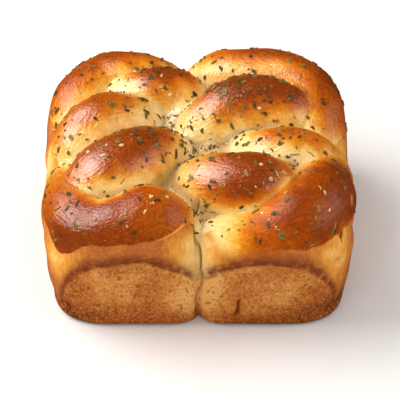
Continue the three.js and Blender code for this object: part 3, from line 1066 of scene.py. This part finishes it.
def stalk_mesh(chance):
    """Each stalk is a five-sided profile carried along a line on the crust, t from -1 to 1,
    bent sideways by t^2 and tapering to its ends."""
    start = chance.uniform(-STALK_REACH, STALK_REACH, (STALKS, 2))
    turn = chance.uniform(0, 2 * pi, STALKS)
    length = chance.uniform(*STALK_LENGTH, STALKS)
    radius = chance.uniform(*STALK_RADIUS, STALKS)
    bend = chance.uniform(-STALK_BEND, STALK_BEND, STALKS)
    t = np.linspace(-1, 1, STALK_POINTS)
    x = length[:, None] / 2 * t
    y = bend[:, None] * t ** 2
    rise = radius[:, None] * 0.7 - x ** 2 / 28
    angle = np.arange(STALK_SIDES) * 2 * pi / STALK_SIDES
    thick = radius[:, None] * (1 - 0.6 * t ** 4)
    side = y[..., None] + thick[..., None] * np.cos(angle)
    lift = rise[..., None] + thick[..., None] * np.sin(angle)
    verts = laid_out(scrap_frames(*start.T, turn), x[..., None], side, lift)
    ends = [verts[:, k].mean(1, keepdims=True) for k in (0, -1)]
    verts = np.concatenate([verts.reshape(STALKS, -1, 3), *ends], axis=1)
    faces = ringed_faces(STALKS, STALK_POINTS, STALK_SIDES)
    tone = np.repeat(chance.random(STALKS), verts.shape[1])
    return held_in(verts.reshape(-1, 3)), faces, {"tone": tone}


stalks = mesh_piece("herb_stalks", *stalk_mesh(np.random.default_rng(41)))
STALK_TONES = [
    (0.0, (96, 78, 40)), (0.4, (140, 122, 66)), (0.75, (176, 160, 96)), (1.0, (214, 200, 140)),
]
stalks.data.materials.append(dried_material("herb stalk", STALK_TONES, 0.5))
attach(stalks, "root")

# ------------------------ The garlic grains
# Small hard grains of dried garlic, some cream and some toasted, sunk nearly halfway into the
# glaze.

GRAINS = 46
GRAIN_LENGTH = (0.9, 2.3)
GRAIN_SLENDERNESS = (0.4, 0.75)
GRAIN_TALLEST = 0.42
GRAIN_LIFT = 0.06
GRAIN_RINGS = 5
GRAIN_SIDES = 7
GRAIN_REACH = 0.62
# Grains seen in loose groups on the crests: x, y, how many, and how far they spread.
LOWEST_GROUP = 36
GRAIN_GROUPS = [
    (-14, -46, 7, 3.5), (24, -46, 4, 4.0), (21, 2, 4, 3.0), (-30, -22, 4, 3.0), (36, -40, 4, 3.5),
    (20, -24, 3, 3.5), (24, 22, 3, 4.0), (-18, 28, 3, 3.0),
]


def grain_mesh(chance):
    """Each grain is a ball of rings and sides, stretched to an oval and knocked out of round by
    a radius drawn anew at every corner."""
    spots = np.vstack(clustered(GRAIN_GROUPS, LOWEST_GROUP, chance))
    loose = chance.uniform(-GRAIN_REACH, GRAIN_REACH, (GRAINS - len(spots), 2))
    frames = scrap_frames(*np.vstack([spots, loose]).T, chance.uniform(0, 2 * pi, GRAINS))
    length = chance.uniform(*GRAIN_LENGTH, GRAINS)
    width = length * chance.uniform(*GRAIN_SLENDERNESS, GRAINS)
    tilt = np.linspace(0, pi, GRAIN_RINGS + 2)[1:-1]
    angle = np.arange(GRAIN_SIDES) * 2 * pi / GRAIN_SIDES
    knock = chance.uniform(0.78, 1.12, (GRAINS, GRAIN_RINGS, GRAIN_SIDES))
    x = length[:, None, None] / 2 * np.sin(tilt)[:, None] * np.cos(angle) * knock
    y = width[:, None, None] / 2 * np.sin(tilt)[:, None] * np.sin(angle) * knock
    tall = np.minimum(width * 0.42, GRAIN_TALLEST)
    z = tall[:, None, None] * np.cos(tilt)[:, None] * knock + GRAIN_LIFT
    verts = laid_out(frames, x, y, z).reshape(GRAINS, -1, 3)
    zero = np.zeros((GRAINS, 1))
    ends = [laid_out(frames, zero, zero, GRAIN_LIFT + tall[:, None] * way) for way in (1, -1)]
    verts = np.concatenate([verts, *ends], axis=1)
    faces = ringed_faces(GRAINS, GRAIN_RINGS, GRAIN_SIDES)
    tone = np.repeat(chance.random(GRAINS), verts.shape[1])
    return held_in(verts.reshape(-1, 3)), faces, {"tone": tone}


garlic = mesh_piece("garlic_grains", *grain_mesh(np.random.default_rng(58)), smooth=False)
GRAIN_TONES = [(0.0, (190, 130, 70)), (0.4, (222, 182, 118)), (1.0, (240, 220, 172))]
garlic.data.materials.append(dried_material("garlic grain", GRAIN_TONES, 0.45))
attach(garlic, "root")

# ------------------------ The table and the light
# A plain pale table top. A large soft light stands on the left, above the roll, a weaker, broad
# one on the right, and a faint one in front that fills the shadows and leaves no highlight.

TABLE_SIZE = 6.0
TABLE_COLOUR = (0.86, 0.86, 0.86, 1.0)
TABLE_ROUGHNESS = 0.9
table_corners = TABLE_SIZE / 2 * np.array([(-1, -1, 0), (1, -1, 0), (1, 1, 0), (-1, 1, 0)])
table = mesh_piece("table", table_corners, [np.array([(0, 1, 2, 3)])], smooth=False)
table_paint, table_tree, table_shader = new_material("pale table")
plug(table_tree, table_shader, {"Base Color": TABLE_COLOUR, "Roughness": TABLE_ROUGHNESS})
table.data.materials.append(table_paint)
table.visible_glossy = False

LIGHT_AIM = Vector((0.0, 0.0, 0.03))


def soft_light(name, turn, rise, distance, width, tall, brightness, colour=(1.0, 1.0, 1.0)):
    """A flat oblong light that faces the roll: turn is from the front towards the right, rise
    above the table, and brightness its radiance, so its power is that times pi times its area."""
    data = bpy.data.lights.new(name, "AREA")
    data.shape = "RECTANGLE"
    data.size = width
    data.size_y = tall
    data.energy = brightness * pi * width * tall
    data.color = colour
    lamp = bpy.data.objects.new(name, data)
    away = Vector((sin(turn) * cos(rise), -cos(turn) * cos(rise), sin(rise)))
    lamp.location = LIGHT_AIM + distance * away
    lamp.rotation_euler = (-away).to_track_quat("-Z", "Y").to_euler()
    bpy.context.scene.collection.objects.link(lamp)
    return lamp


WINDOW_COLOUR = (1.0, 0.95, 0.88)
soft_light("left_window", radians(-104), radians(45), 1.0, 1.0, 0.8, 5.3, WINDOW_COLOUR)
soft_light("right_card", radians(84), radians(23), 1.0, 1.0, 0.62, 1.6, WINDOW_COLOUR)
front_fill = soft_light("front_fill", radians(-10), radians(38), 1.6, 1.6, 1.2, 1.15)
front_fill.visible_glossy = False

# The room's walls: pale behind the roll, softly filling the shadows, and too dim to veil the
# glaze.
ROOM_FILL = 0.42
ROOM_IN_GLAZE = 0.015
ROOM_SEEN = 1.0
world = bpy.data.worlds.new("room")
bpy.context.scene.world = world
world.use_nodes = True
room = world.node_tree
rays = add(room, "ShaderNodeLightPath").outputs
seen = times(room, rays["Is Camera Ray"], ROOM_SEEN - ROOM_FILL)
mirrored = times(room, rays["Is Glossy Ray"], ROOM_IN_GLAZE - ROOM_FILL)
room_strength = plus(room, plus(room, ROOM_FILL, seen), mirrored)
plug(room, room.nodes["Background"], {"Color": (1.0, 1.0, 1.0, 1.0), "Strength": room_strength})
bpy.context.scene.view_settings.view_transform = "Standard"
